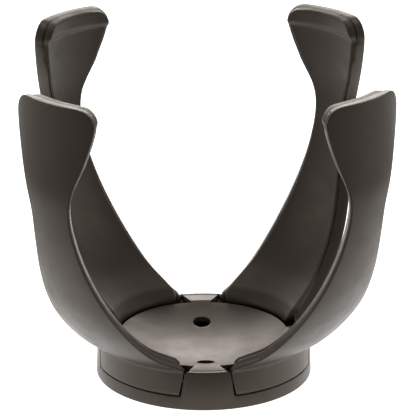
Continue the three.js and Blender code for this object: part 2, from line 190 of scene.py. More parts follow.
class HolderArmSizes(bpy.types.PropertyGroup):
    """Sizes of the swinging arms and their grip pads"""
    bend: length("Bend radius", "Radius of an arm's level section", 42.0)
    slit: length("Slit", "Gap between an arm's root and the upstand beside it", 0.85)
    root_wall: length("Root wall", "Thickness of the arm's root", 3.4)
    core: length("Core", "Thickness under the grip pad", 3.2)
    rim: length("Rim", "Thickness at the top of the arm's slanted side faces", 3.9)
    flare_rim: length("Flare rim", "The same where the arm flares, below the roll", 4.25)
    edge: length("Edge", "Thickness of the arm's edge halfway up", 1.0)
    tip_edge: length("Tip edge", "Thickness of the edge around the tip", 2.6)
    corner: length("Corner radius", "Upper corners of an arm", 6.5)
    slant: length("Slant", "How far the arm's side faces lean inwards, halfway up", 1.7)
    flare_slant: length("Flare slant", "How far they lean inwards below the roll", 1.0)
    tip_slant: length("Tip slant", "How far they lean inwards beside the roll", 0.4)
    land: length("Land", "From the arm's side faces to the side of the grip pad", 0.5)
    pad_foot: length("Pad foot", "Thickness of the pad at its lower end, next to the dish", 3.35)
    pad: length("Pad thickness", "Grip pad on the arm's inner face", 1.35)
    roll: length("Roll thickness", "Thick roll across the top of the pad", 2.75)
    roll_height: length("Roll height", "Height of the roll", 5.8)
    pad_bottom: length("Pad bottom", "Lower end of the grip pad", 13.75)
    hinge_radius: length("Hinge radius", "Hinge pin from the centre line", 27.2)
    hinge_height: length("Hinge height", "Hinge pin above the table", 7.6)


class HolderColours(bpy.types.PropertyGroup):
    """Colours of the finishes"""
    moulded: colour("Moulded plastic", "Satin plastic of the base and arms", (0.024, 0.0188, 0.0142))
    grip: colour("Grip", "Soft-touch lining of the arms", (0.021, 0.0166, 0.0128))
    steel: colour("Steel", "Pins, washers and screws", (0.55, 0.56, 0.58))
    rubber: colour("Rubber", "Foot pad", (0.012, 0.012, 0.012))
    floor: colour("Floor", "Studio floor", (0.5, 0.5, 0.5))


# ---------- modelling helpers ----------
def nothing_selected():
    if bpy.context.object and bpy.context.object.mode != "OBJECT":
        bpy.ops.object.mode_set(mode="OBJECT")
    bpy.ops.object.select_all(action="DESELECT")


def only(piece):
    nothing_selected()
    piece.select_set(True)
    bpy.context.view_layer.objects.active = piece


def editing(piece, select="SELECT"):
    only(piece)
    bpy.ops.object.mode_set(mode="EDIT")
    bpy.ops.mesh.select_all(action=select)


def done_editing():
    bpy.ops.object.mode_set(mode="OBJECT")


def settle(piece):
    """Puts an object's place into its mesh."""
    only(piece)
    bpy.ops.object.transform_apply(location=True, rotation=True, scale=True)


def named(piece, name):
    piece.name = name
    piece.data.name = name
    return piece


def applied(piece, kind, **settings):
    """Adds a modifier and applies it."""
    modifier = piece.modifiers.new(kind.title(), kind)
    for key, value in settings.items():
        setattr(modifier, key, value)
    only(piece)
    bpy.ops.object.modifier_apply(modifier=modifier.name)


def first_vertex(name, point):
    """A new mesh of one vertex, left in edit mode."""
    nothing_selected()
    bpy.ops.mesh.primitive_plane_add(size=0.01)
    piece = named(bpy.context.object, name)
    bpy.ops.object.mode_set(mode="EDIT")
    bpy.ops.mesh.select_all(action="SELECT")
    bpy.ops.mesh.merge(type="CENTER")
    bpy.ops.transform.translate(value=point)
    return piece


def turned(name, profile, steps=ROUND, closed=False):
    """A turned solid: a line drawn through (radius, height) points in millimetres, spun about Z."""
    points = [Vector((radius, 0.0, height)) * MM for radius, height in profile]
    if closed:
        points.append(points[0])
    piece = first_vertex(name, points[0])
    for start, end in zip(points, points[1:]):
        bpy.ops.mesh.extrude_region_move(TRANSFORM_OT_translate={"value": end - start})
    bpy.ops.mesh.select_all(action="SELECT")
    bpy.ops.mesh.spin(steps=steps, angle=math.tau, center=(0, 0, 0), axis=(0, 0, 1))
    bpy.ops.mesh.select_all(action="SELECT")
    bpy.ops.mesh.remove_doubles(threshold=MERGE)
    bpy.ops.mesh.normals_make_consistent(inside=False)
    done_editing()
    return piece


def cut_away(piece, point, normal):
    """Cuts off what lies beyond a plane and closes the cut."""
    editing(piece)
    bpy.ops.mesh.bisect(plane_co=point, plane_no=normal, use_fill=True, clear_outer=True)
    bpy.ops.mesh.select_all(action="SELECT")
    bpy.ops.mesh.normals_make_consistent(inside=False)
    done_editing()


def turn(vector, degrees):
    return Matrix.Rotation(math.radians(degrees), 3, "Z") @ vector


def copy_of(piece, name, matrix):
    """A separate copy with its own mesh, moved by a matrix that goes into the mesh."""
    other = piece.copy()
    other.data = piece.data.copy()
    bpy.context.scene.collection.objects.link(other)
    named(other, name)
    other.matrix_world = matrix @ piece.matrix_world
    settle(other)
    return other


def joined(name, pieces):
    nothing_selected()
    for piece in pieces:
        piece.select_set(True)
    bpy.context.view_layer.objects.active = pieces[0]
    if len(pieces) > 1:
        bpy.ops.object.join()
    return named(bpy.context.object, name)


def four_times(piece, first=0.0):
    """Four copies a quarter turn apart, as one object; the original goes."""
    turns = [Matrix.Rotation(math.radians(first + 90.0 * k), 4, "Z") for k in range(4)]
    copies = [copy_of(piece, f"{piece.name}_{k}", matrix) for k, matrix in enumerate(turns)]
    bpy.data.objects.remove(piece)
    return joined(copies[0].name, copies)


def combined(piece, tool, operation):
    """Adds, cuts or keeps what another solid covers, and removes that solid."""
    applied(piece, "BOOLEAN", object=tool, operation=operation, solver="MANIFOLD")
    bpy.data.objects.remove(tool)


def cylinder(name, radius, bottom, top, place=(0.0, 0.0), sides=48, lying=False):
    """A cylinder in millimetres, standing at (x, y), or lying along Y through (x, z)."""
    nothing_selected()
    middle = (bottom + top) / 2
    location = Vector((place[0], middle, place[1]) if lying else (place[0], place[1], middle)) * MM
    bpy.ops.mesh.primitive_cylinder_add(
        vertices=sides, radius=radius * MM, depth=(top - bottom) * MM, location=location,
        rotation=(math.pi / 2, 0, 0) if lying else (0, 0, 0))
    piece = named(bpy.context.object, name)
    settle(piece)
    return piece


def box(name, low, high):
    """A box between two corners in millimetres."""
    nothing_selected()
    low, high = Vector(low) * MM, Vector(high) * MM
    bpy.ops.mesh.primitive_cube_add(size=1.0, location=(low + high) / 2)
    piece = named(bpy.context.object, name)
    piece.scale = high - low
    settle(piece)
    return piece


def rounded(piece, width, segments=3, angle=45.0):
    """Rounds every edge sharper than an angle."""
    applied(piece, "BEVEL", width=width, segments=segments, limit_method="ANGLE",
            angle_limit=math.radians(angle), use_clamp_overlap=True)


def weighted_rounding(piece, width, segments, weight_of):
    """Rounds edges by weight, from an edge's middle, its direction and its sharpness in degrees."""
    sharpness = {}
    for face in piece.data.polygons:
        for key in face.edge_keys:
            sharpness.setdefault(key, []).append(face.normal.copy())
    weights = piece.data.attributes.new("bevel_weight_edge", "FLOAT", "EDGE")
    for edge in piece.data.edges:
        normals = sharpness.get(edge.key, [])
        if len(normals) != 2:
            continue
        first, second = (piece.data.vertices[k].co for k in edge.vertices)
        angle = math.degrees(normals[0].angle(normals[1], 0.0))
        weights.data[edge.index].value = weight_of((first + second) / 2, second - first, angle)
    applied(piece, "BEVEL", width=width, segments=segments, limit_method="WEIGHT",
            use_clamp_overlap=False)


def cleaned(piece):
    editing(piece)
    bpy.ops.mesh.remove_doubles(threshold=CLEAN_MERGE)
    bpy.ops.mesh.dissolve_degenerate(threshold=MERGE)
    done_editing()


def shaded(piece, angle=35.0):
    only(piece)
    bpy.ops.object.shade_smooth_by_angle(angle=math.radians(angle))


def smooth(low, high, value):
    share = min(max((value - low) / (high - low), 0.0), 1.0)
    return share * share * (3.0 - 2.0 * share)


def mix(a, b, share):
    return a + (b - a) * share


# ---------- materials ----------
def node_material(name):
    material = bpy.data.materials.new(name)
    material.use_nodes = True
    tree = material.node_tree
    shader = tree.nodes["Principled BSDF"]
    place = tree.nodes.new("ShaderNodeTexCoord")
    return material, tree, shader, place.outputs["Object"]


def noise(tree, place, scale, detail=3.0, roughness=0.5):
    node = tree.nodes.new("ShaderNodeTexNoise")
    node.inputs["Scale"].default_value = scale
    node.inputs["Detail"].default_value = detail
    node.inputs["Roughness"].default_value = roughness
    tree.links.new(place, node.inputs["Vector"])
    return node.outputs["Fac"]


def ramp(tree, value, stops):
    node = tree.nodes.new("ShaderNodeValToRGB")
    elements = node.color_ramp.elements
    for k, (position, rgb) in enumerate(stops):
        element = elements[k] if k < 2 else elements.new(position)
        element.position = position
        element.color = (*rgb, 1.0)
    tree.links.new(value, node.inputs["Fac"])
    return node.outputs["Color"]


def ranged(tree, value, low, high):
    node = tree.nodes.new("ShaderNodeMapRange")
    node.inputs["From Min"].default_value = NOISE_LOW
    node.inputs["From Max"].default_value = NOISE_HIGH
    node.inputs["To Min"].default_value = low
    node.inputs["To Max"].default_value = high
    tree.links.new(value, node.inputs["Value"])
    return node.outputs["Result"]


def bumped(tree, shader, layers):
    """Stacks bumps: each layer is a height, its strength and its depth in metres."""
    previous = None
    for height, strength, depth in layers:
        node = tree.nodes.new("ShaderNodeBump")
        node.inputs["Strength"].default_value = strength
        node.inputs["Distance"].default_value = depth
        tree.links.new(height, node.inputs["Height"])
        if previous:
            tree.links.new(previous, node.inputs["Normal"])
        previous = node.outputs["Normal"]
    tree.links.new(previous, shader.inputs["Normal"])


def shades(rgb, spread):
    """Three stops of a colour ramp round a colour."""
    return [(place, tuple(channel * factor for channel in rgb))
            for place, factor in ((NOISE_LOW, 1.0 - spread), (0.5, 1.0), (NOISE_HIGH, 1.0 + spread))]


def mottled(tree, shader, place, rgb, scale, detail, spread):
    """Colours a surface unevenly, by a noise of a scale and detail."""
    shade = ramp(tree, noise(tree, place, scale, detail), shades(rgb, spread))
    tree.links.new(shade, shader.inputs["Base Color"])


def unevenly_glossy(tree, shader, grain, low, high):
    tree.links.new(ranged(tree, grain, low, high), shader.inputs["Roughness"])


def moulded_plastic(name, rgb, low, high):
    """Satin injection-moulded plastic: fine spark grain, faint flow variation, uneven gloss."""
    material, tree, shader, place = node_material(name)
    mottled(tree, shader, place, rgb, 45.0, 4.0, 0.14)
    unevenly_glossy(tree, shader, noise(tree, place, 120.0, 5.0, 0.6), low, high)
    bumped(tree, shader, [
        (noise(tree, place, 2600.0, 2.0), 0.10, 0.00006),
        (noise(tree, place, 38.0, 2.0), 0.10, 0.0006),
    ])
    shader.inputs["Specular Tint"].default_value = PLASTIC_TINT
    return material


def soft_grip(name, rgb):
    """Smooth soft-touch lining: duller than the arms, with a finer skin."""
    material, tree, shader, place = node_material(name)
    mottled(tree, shader, place, rgb, 60.0, 4.0, 0.12)
    unevenly_glossy(tree, shader, noise(tree, place, 150.0, 4.0, 0.6), 0.44, 0.56)
    bumped(tree, shader, [
        (noise(tree, place, 3200.0, 2.0), 0.08, 0.00005),
        (noise(tree, place, 50.0, 2.0), 0.08, 0.0005),
    ])
    shader.inputs["Specular Tint"].default_value = PLASTIC_TINT
    return material


def turned_steel(name, rgb):
    """Bright drawn steel with fine rings and scuffs."""
    material, tree, shader, place = node_material(name)
    shader.inputs["Metallic"].default_value = 1.0
    mottled(tree, shader, place, rgb, 300.0, 4.0, 0.12)
    unevenly_glossy(tree, shader, noise(tree, place, 900.0, 3.0), 0.22, 0.42)
    bumped(tree, shader, [(noise(tree, place, 1800.0, 2.0), 0.12, 0.00005)])
    return material


def foot_rubber(name, rgb):
    """Matt black rubber, slightly dusty."""
    material, tree, shader, place = node_material(name)
    mottled(tree, shader, place, rgb, 90.0, 5.0, 0.3)
    unevenly_glossy(tree, shader, noise(tree, place, 400.0, 4.0), 0.75, 0.95)
    bumped(tree, shader, [(noise(tree, place, 1500.0, 3.0), 0.25, 0.00012)])
    return material


def finish_of(key):
    """The object's finishes, each made once."""
    colours = bpy.context.scene.holder_colours
    name = f"finish_{key}"
    made = bpy.data.materials.get(name)
    if made:
        return made
    if key == "moulded":
        return moulded_plastic(name, tuple(colours.moulded), 0.34, 0.46)
    if key == "grip":
        return soft_grip(name, tuple(colours.grip))
    if key == "steel":
        return turned_steel(name, tuple(colours.steel))
    return foot_rubber(name, tuple(colours.rubber))


def painted(piece, key):
    piece.data.materials.clear()
    piece.data.materials.append(finish_of(key))


def hand_over(piece, key, slot, body, *nodes):
    """Finishes a piece: its material, body and the frame nodes it stands for; slot is not used."""
    painted(piece, key)
    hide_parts(*nodes)
    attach(piece, body)


# ---------- base ----------
def base_sizes():
    return bpy.context.scene.holder_base


def arm_sizes():
    return bpy.context.scene.holder_arms


def dish_surface(radius):
    """Height of the dish's upper face in millimetres."""
    sizes = base_sizes()
    rim, depth, edge = sizes.dish_height / MM, sizes.dish_depth / MM, sizes.dish_radius / MM
    return rim - depth + depth * (radius / edge) ** 2


def side_plane(side, azimuth, offset=0.0):
    """A point and outward normal of an upstand's side face, for an upstand at an azimuth."""
    normal = Vector((UPSTAND_SIDE_NORMAL.x, side * UPSTAND_SIDE_NORMAL.y, UPSTAND_SIDE_NORMAL.z))
    lateral = UPSTAND_SIDE_POINT.y + offset
    point = Vector((UPSTAND_SIDE_POINT.x, side * lateral, UPSTAND_SIDE_POINT.z))
    return turn(point, azimuth), turn(normal, azimuth)


def sector(piece):
    """Keeps the part of a ring that lies a little inside the sides of the upstand along +X."""
    cut_away(piece, (0, 0, 0), (-1, 0, 0))
    for side in (-1, 1):
        cut_away(piece, *side_plane(side, 0.0, -base_sizes().tab_inset))


def window(piece):
    """Keeps the part of a ring that lies between the upstands at -45 and +45 degrees."""
    cut_away(piece, (0, 0, 0), (-1, 0, 0))
    for side in (-1, 1):
        point, normal = side_plane(-side, side * 45.0)
        cut_away(piece, point, -normal)


def fixing_holes():
    sizes = base_sizes()
    radius, offset = sizes.hole_radius / MM, sizes.hole_offset / MM
    return joined("fixing_holes", [
        cylinder(f"hole_{side}", radius, -2.0, 22.0, (0.0, side * offset), 64) for side in (-1, 1)])


def hinge_cradles():
    """Upright plates on both sides of a hinge along +X, slotted for the pin from above."""
    hinge, height = arm_sizes().hinge_radius / MM, arm_sizes().hinge_height / MM
    plates = []
    for side in (-1, 1):
        low, high = sorted(side * face for face in CRADLE_FACES)
        plate = box(f"plate_{side}", (hinge - 2.9, low, 3.3), (hinge + 2.9, high, height + 2.4))
        combined(plate, cylinder("limit", CRADLE_LIMIT, 0.0, 20.0, sides=ROUND), "INTERSECT")
        plates.append(plate)
    return joined("cradles", plates)


def pin_slots():
    hinge, height = arm_sizes().hinge_radius / MM, arm_sizes().hinge_height / MM
    bottom = cylinder("slot", BORE_RADIUS, -SLOT_REACH, SLOT_REACH, (hinge, height),
                      BORE_SIDES, lying=True)
    above = box("slot_above", (hinge - BORE_RADIUS, -SLOT_REACH, height),
                (hinge + BORE_RADIUS, SLOT_REACH, 12.3))
    combined(bottom, above, "UNION")
    return four_times(bottom, 45.0)


def housing():
    sizes = base_sizes()
    foot, wall, top = sizes.foot_radius / MM, sizes.wall_radius / MM, sizes.upstand_height / MM
    inner, flange = sizes.flange_inner / MM, sizes.flange_height / MM
    floor, seat = sizes.floor_top / MM, top - SEAT_DEPTH
    lip, dish = sizes.tab_radius / MM + FIT_GAP, sizes.dish_radius / MM + FIT_GAP
    piece = turned("housing", [
        (0, FLOOR_UNDERSIDE), (inner, FLOOR_UNDERSIDE), (inner, FOOT_EDGE), (foot, FOOT_EDGE),
        (wall, top), (lip, top), (lip, seat), (dish, seat), (dish, LEDGE_HEIGHT),
        (WELL_RADIUS, WELL_EDGE), (WELL_RADIUS, floor), (0, floor)])
    gap = turned("gap", [
        (GAP_INNER, floor), (inner, floor), (inner, flange), (GAP_OUTER, flange),
        (GAP_OUTER, GAP_TOP), (GAP_INNER, GAP_TOP)], closed=True)
    window(gap)
    combined(piece, four_times(gap, 45.0), "DIFFERENCE")
    combined(piece, four_times(hinge_cradles(), 45.0), "UNION")
    bosses = []
    for side in (-1, 1):
        place = (0.0, side * sizes.hole_offset / MM)
        bosses.append(cylinder(f"boss_{side}", BOSS_RADIUS, floor - 0.5, BOSS_TOP, place))
    combined(piece, joined("bosses", bosses), "UNION")
    combined(piece, pin_slots(), "DIFFERENCE")
    combined(piece, fixing_holes(), "DIFFERENCE")
    cleaned(piece)

    def softness(middle, direction, angle):
        radius, height = middle.xy.length / MM, middle.z / MM
        if angle < 35.0 or radius < inner - 1.5:
            return 0.0
        radial = abs(direction.xy.dot(middle.xy.normalized())) > 0.8 * direction.length
        if height > top - 0.05 and radial:
            return 1.0
        return sizes.edge / UPSTAND_CORNER

    weighted_rounding(piece, UPSTAND_CORNER, 4, softness)
    shaded(piece)
    return piece


def dish_plate():
    sizes = base_sizes()
    rim, wall, top = sizes.dish_radius / MM, sizes.dish_wall / MM, sizes.upstand_height / MM
    shares = [k / 12 for k in range(12)]
    over = [(share * (rim - 0.5), dish_surface(share * (rim - 0.5))) for share in shares]
    under = [(share * rim, dish_surface(share * rim) - wall) for share in reversed(shares)]
    height = sizes.dish_height / MM
    piece = turned("dished_seat", over + [
        (rim - 0.5, height - 0.16), (rim - 0.25, height - 0.1), (rim - 0.07, height - 0.2),
        (rim, height - 0.45), (rim, height - wall + 0.2), (rim - 0.2, height - wall)] + under)
    outer, inner = sizes.tab_radius / MM, rim - 0.9
    tab = turned("tab", [
        (inner, top - 1.7), (outer, top - 1.7), (outer, top), (inner + 1.1, top),
        (inner, dish_surface(inner) - 0.1)], closed=True)
    sector(tab)
    combined(piece, four_times(tab), "UNION")
    post = cylinder("post", POST_RADIUS, POST_BOTTOM, POST_TOP, (POST_OFFSET, 0.0))
    combined(piece, four_times(post, 45.0), "UNION")
    combined(piece, fixing_holes(), "DIFFERENCE")
    cleaned(piece)
    rounded(piece, 0.3 * MM, 3, 50.0)
    shaded(piece, 30.0)
    return piece


def foot_pad():
    """A thin rubber disc with shallow rings in its underside."""
    profile = [(0.0, 0.0)]
    for middle in FOOT_PAD_RINGS:
        profile += [(middle - 0.9, 0.0), (middle - 0.6, 0.3), (middle + 0.6, 0.3), (middle + 0.9, 0.0)]
    profile += [(33.3, 0.0), (FOOT_PAD_RADIUS, 0.3), (FOOT_PAD_RADIUS, FOOT_PAD_HEIGHT)]
    piece = turned("foot_disc", profile + [(0.0, FOOT_PAD_HEIGHT)])
    combined(piece, fixing_holes(), "DIFFERENCE")
    cleaned(piece)
    shaded(piece, 30.0)
    return piece


# ---------- arms ----------
def arm_line(share):
    """Height, radius and half width along the arm, on one smooth line through the stations."""
    points = [Vector(station) for station in ARM_STATIONS]
    place = share * (len(points) - 1)
    k = min(int(place), len(points) - 2)
    b, c = points[k], points[k + 1]
    a = points[k - 1] if k else b * 2 - c
    d = points[k + 2] if k + 2 < len(points) else c * 2 - b
    gaps = [math.sqrt((q - p).length) for p, q in ((a, b), (b, c), (c, d))]
    t = place - k
    leave = ((b - a) / gaps[0] - (c - a) / (gaps[0] + gaps[1]) + (c - b) / gaps[1]) * gaps[1]
    arrive = ((c - b) / gaps[1] - (d - b) / (gaps[1] + gaps[2]) + (d - c) / gaps[2]) * gaps[1]
    return (b * (2 * t ** 3 - 3 * t ** 2 + 1) + leave * (t ** 3 - 2 * t ** 2 + t)
            + c * (3 * t ** 2 - 2 * t ** 3) + arrive * (t ** 3 - t ** 2))


def root_half_width(height):
    """Half the arm root's width where the slit beside it runs, in millimetres."""
    lateral = UPSTAND_HALF_WIDTH + arm_sizes().slit / MM + UPSTAND_FLARE * (UPSTAND_TOP - height)
    return ROOT_RADIUS * math.sin(math.radians(45.0) - math.asin(lateral / ROOT_RADIUS))


def wall_radius(height):
    sizes = base_sizes()
    foot, wall, top = sizes.foot_radius / MM, sizes.wall_radius / MM, sizes.upstand_height / MM
    return mix(foot, wall, height / top)


def line_at(height):
    """Radius and half width of the arm's line at a height."""
    low, high = 0.0, 1.0
    for _ in range(30):
        middle = (low + high) / 2
        if arm_line(middle)[0] < height:
            low = middle
        else:
            high = middle
    return arm_line(high)[1:]


def arm_rows():
    """Rows of the arm's outer face, from the root up: height, radius, half width and bend."""
    sizes = arm_sizes()
    rows = [(height, wall_radius(height), root_half_width(height), wall_radius(height))
            for height in ROOT_ROWS]
    rows += SHOULDER_ROWS
    top, corner = ARM_STATIONS[-1][0], sizes.corner / MM
    fine = top - corner - FINE_BAND
    heights = [RISE_START + (fine - RISE_START) * k / RISE_ROWS for k in range(RISE_ROWS)]
    heights += [fine + FINE_BAND * k / FINE_ROWS for k in range(FINE_ROWS)]
    for height in heights:
        radius, half_width = line_at(height)
        bend = mix(ROOT_BEND, sizes.bend / MM, smooth(*ROOT_BLEND, height))
        rows.append((height, radius, half_width, bend))
    for angle in CORNER_ANGLES:
        up, across = math.sin(math.radians(angle)), math.cos(math.radians(angle))
        height = top - corner + corner * up
        radius, half_width = line_at(height)
        rows.append((height, radius, half_width - corner * (1.0 - across), sizes.bend / MM))
    return rows


def bulge(half_width, bend):
    return bend - math.sqrt(bend * bend - half_width * half_width)


# Columns across a sheet, closer together near its sides: how many, and their share of the width.
SHEET_COLUMNS = ((1, 0.03), (16, 0.13), (12, 0.68), (16, 0.13), (1, 0.03))


def drawn_sheet(name, rows):
    """A bent sheet: an arc spun from one point, then drawn up and scaled row by row."""
    height, radius, half_width, bend = rows[0]
    angle = math.asin(half_width / bend)
    middle = Vector((radius - bend, 0.0, height))
    start = middle + Vector((bend * math.cos(angle), -half_width, 0.0))
    piece = first_vertex(name, start * MM)
    for steps, share in SHEET_COLUMNS:
        bpy.ops.mesh.spin(steps=steps, angle=2 * angle * share, center=middle * MM, axis=(0, 0, -1))
    bpy.ops.mesh.select_all(action="SELECT")
    for last, row in zip(rows, rows[1:]):
        rise = Vector((row[1] - last[1], 0.0, row[0] - last[0])) * MM
        bpy.ops.mesh.extrude_region_move(TRANSFORM_OT_translate={"value": rise})
        sag = bulge(row[2], row[3]) / bulge(last[2], last[3])
        bpy.ops.transform.resize(
            value=(sag, row[2] / last[2], 1.0), center_override=Vector((row[1], 0.0, row[0])) * MM)
    bpy.ops.mesh.select_all(action="SELECT")
    bpy.ops.mesh.normals_make_consistent(inside=False)
    done_editing()
    middle_face = piece.data.polygons[len(piece.data.polygons) // 2]
    if middle_face.normal.x < 0:
        editing(piece)
        bpy.ops.mesh.flip_normals()
        done_editing()
    return piece


def thickened(piece, rows, thickness, thickest):
    """Gives a sheet its wall, inwards. thickness takes a row and the distance from its edge."""
    group = piece.vertex_groups.new(name="wall")
    for vertex in piece.data.vertices:
        height = vertex.co.z / MM
        row = min(rows, key=lambda entry: abs(entry[0] - height))
        inset = max(row[2] - abs(vertex.co.y) / MM, 0.0)
        group.add([vertex.index], min(thickness(row, inset) / thickest, 1.0), "REPLACE")
    applied(piece, "SOLIDIFY", thickness=thickest * MM, offset=-1.0, vertex_group="wall",
            thickness_vertex_group=0.0, use_even_offset=False, edge_crease_outer=1.0)
    piece.vertex_groups.clear()


def under_roll(height):
    """Rises from 0 to 1 across the lower edge of the roll."""
    lower = ARM_STATIONS[-1][0] - arm_sizes().roll_height / MM
    return smooth(lower + ROLL_BLEND[0], lower + ROLL_BLEND[1], height)


def side_slant(height):
    """How far the arm's side faces lean inwards at a height."""
    sizes = arm_sizes()
    flared = mix(sizes.slant, sizes.flare_slant, smooth(*FLARE_BLEND, height))
    return mix(flared, sizes.tip_slant, under_roll(height)) / MM


def arm_wall(row, inset):
    """The arm's thickness: slanted side faces up to a rim, and a shallow seat for the pad between."""
    sizes = arm_sizes()
    share = smooth(*ROOT_BLEND, row[0])
    core = mix(sizes.root_wall, sizes.core, share) / MM
    rim = mix(sizes.root_wall, sizes.rim, share)
    rim = mix(rim, sizes.flare_rim, smooth(*FLARE_BLEND, row[0])) / MM
    rim = mix(rim, core, under_roll(row[0]))
    edge = mix(sizes.root_wall / MM, sizes.edge / MM, smooth(*ROOT_EDGE_BLEND, row[0]))
    edge = mix(edge, sizes.tip_edge / MM, smooth(*TIP_EDGE_BLEND, row[0]))
    slant = side_slant(row[0])
    if inset < slant:
        return mix(edge, rim, inset / slant)
    return mix(rim, core, smooth(slant, slant + 0.7, inset))


def arm_knuckles():
    """Two hinge barrels on webs, for an arm along +X."""
    hinge, height = arm_sizes().hinge_radius / MM, arm_sizes().hinge_height / MM
    knuckles = []
    for side in (-1, 1):
        low, high = sorted(side * face for face in BARREL_FACES)
        barrel = cylinder(f"barrel_{side}", BARREL_RADIUS, low, high, (hinge, height), lying=True)
        web = box(f"web_{side}", (hinge, low + 0.01, 5.9), (35.6, high - 0.01, height + 1.6))
        combined(web, cylinder("limit", WEB_LIMIT, 0.0, 20.0, sides=ROUND), "INTERSECT")
        combined(barrel, web, "UNION")
        knuckles.append(barrel)
    return joined("knuckles", knuckles)


def open_arm():
    """One arm along +X in its fully open place."""
    rows = arm_rows()
    piece = drawn_sheet("arm", rows)
    thickened(piece, rows, arm_wall, ARM_THICKEST)

    def softness(middle, direction, angle):
        if angle < 50.0:
            return 0.0
        row = min(rows, key=lambda entry: abs(entry[0] - middle.z / MM))
        outside = math.hypot(middle.x / MM - row[1] + row[3], middle.y / MM) > row[3] - 0.5
        return 1.0 if outside else INNER_SOFTNESS

    weighted_rounding(piece, ARM_ROUNDING, 3, softness)
    combined(piece, arm_knuckles(), "UNION")
    hinge, height = arm_sizes().hinge_radius / MM, arm_sizes().hinge_height / MM
    hole = cylinder("pin_hole", BORE_RADIUS, -20.0, 20.0, (hinge, height), BORE_SIDES, lying=True)
    combined(piece, hole, "DIFFERENCE")
    shaded(piece, 40.0)
    return piece


def open_pad():
    """One grip pad along +X, on the fully open arm's inner face."""
    sizes = arm_sizes()
    bottom, land = sizes.pad_bottom / MM, sizes.land / MM
    arm = arm_rows()
    rows = []
    for angle in (0, 22, 45, 68, 90):
        height = bottom + PAD_CORNER * (1.0 - math.cos(math.radians(angle)))
        above = next(k for k, row in enumerate(arm) if row[0] > height)
        low, high = arm[above - 1], arm[above]
        row = [mix(p, q, (height - low[0]) / (high[0] - low[0])) for p, q in zip(low, high)]
        cut = PAD_CORNER * (1.0 - math.sin(math.radians(angle)))
        row[2] -= side_slant(height) + land * PAD_MARGIN_AT_ROOT + cut
        rows.append(tuple(row))
    for height, radius, half_width, bend in arm:
        if height > bottom + PAD_CORNER + 0.3:
            margin = land * mix(PAD_MARGIN_AT_ROOT, 1.0, smooth(16.0, 30.0, height))
            margin *= mix(1.0, PAD_MARGIN_AT_ROLL, under_roll(height))
            rows.append((height, radius, half_width - side_slant(height) - margin, bend))
    top = rows[-1][0]

    def pad_wall(row, inset):
        """The pad's thickness: rounded along its edges, with the roll across the top."""
        under = top - sizes.roll_height / MM
        in_roll = smooth(under - 1.7, under + 1.3, row[0])
        full = mix(sizes.pad, sizes.roll, in_roll) / MM
        full = mix(sizes.pad_foot / MM, full, smooth(bottom, bottom + 4.0, row[0]))
        near = min(inset / mix(PAD_ROUNDING, ROLL_ROUNDING, in_roll), (top - row[0] + 0.4) / 1.5, 1.0)
        near = min(near, (row[0] - bottom + 0.6) / 0.9)
        side = mix(PAD_SIDE, ROLL_SIDE, in_roll)
        return side + (full - side) * math.sqrt(1.0 - (1.0 - near) ** 2)

    piece = drawn_sheet("grip_pad", rows)
    editing(piece)
    bpy.ops.transform.shrink_fatten(value=-(sizes.core + PAD_GAP))
    done_editing()
    thickened(piece, rows, pad_wall, PAD_THICKEST)
    applied(piece, "SUBSURF", levels=1, render_levels=1)
    shaded(piece, 60.0)
    return piece


def placed(place):
    """The matrix that brings a piece from the open arm along +X to one of the four places."""
    azimuth, lean = ARM_PLACES[place]
    sizes = arm_sizes()
    pin = Vector((sizes.hinge_radius, 0.0, sizes.hinge_height))
    closing = Matrix.Rotation(math.radians(-lean), 4, "Y")
    swing = Matrix.Translation(pin) @ closing @ Matrix.Translation(-pin)
    return Matrix.Rotation(math.radians(azimuth), 4, "Z") @ swing


# ---------- operators ----------
class HolderPieceOperator:
    bl_options = {"REGISTER", "UNDO"}


class HOLDER_OT_housing(HolderPieceOperator, bpy.types.Operator):
    """Model the round housing with its flange, four upstands and hinge cradles"""
    bl_idname = "holder.housing"
    bl_label = "Housing"

    def execute(self, context):
        hand_over(housing(), "moulded", "moulded_plastic", "base", "base_housing")
        return {"FINISHED"}


class HOLDER_OT_dish_plate(HolderPieceOperator, bpy.types.Operator):
    """Model the dished plate with its four tabs and two fixing holes"""
    bl_idname = "holder.dish_plate"
    bl_label = "Dish plate"

    def execute(self, context):
        hand_over(dish_plate(), "moulded", "moulded_plastic", "base", "dish_plate")
        return {"FINISHED"}


class HOLDER_OT_foot_pad(HolderPieceOperator, bpy.types.Operator):
    """Model the rubber foot pad"""
    bl_idname = "holder.foot_pad"
    bl_label = "Foot pad"

    def execute(self, context):
        hand_over(foot_pad(), "rubber", "foot_rubber", "base", "foot_pad")
        return {"FINISHED"}


class HOLDER_OT_arms(HolderPieceOperator, bpy.types.Operator):
    """Model one arm and copy it to its four places"""
    bl_idname = "holder.arms"
    bl_label = "Arms"

    def execute(self, context):
        pattern = open_arm()
        for place in ARM_PLACES:
            piece = copy_of(pattern, f"cradle_arm_{place}", placed(place))
            hand_over(piece, "moulded", "moulded_plastic", f"{place}_arm", f"arm_{place}")
        bpy.data.objects.remove(pattern)
        return {"FINISHED"}


class HOLDER_OT_grip_pads(HolderPieceOperator, bpy.types.Operator):
    """Model one grip pad with its roll and copy it to the four arms"""
    bl_idname = "holder.grip_pads"
    bl_label = "Grip pads"

    def execute(self, context):
        pattern = open_pad()
        for place in ARM_PLACES:
            piece = copy_of(pattern, f"soft_pad_{place}", placed(place))
            hand_over(piece, "grip", "soft_grip", f"{place}_arm", f"grip_pad_{place}")
        bpy.data.objects.remove(pattern)
        return {"FINISHED"}


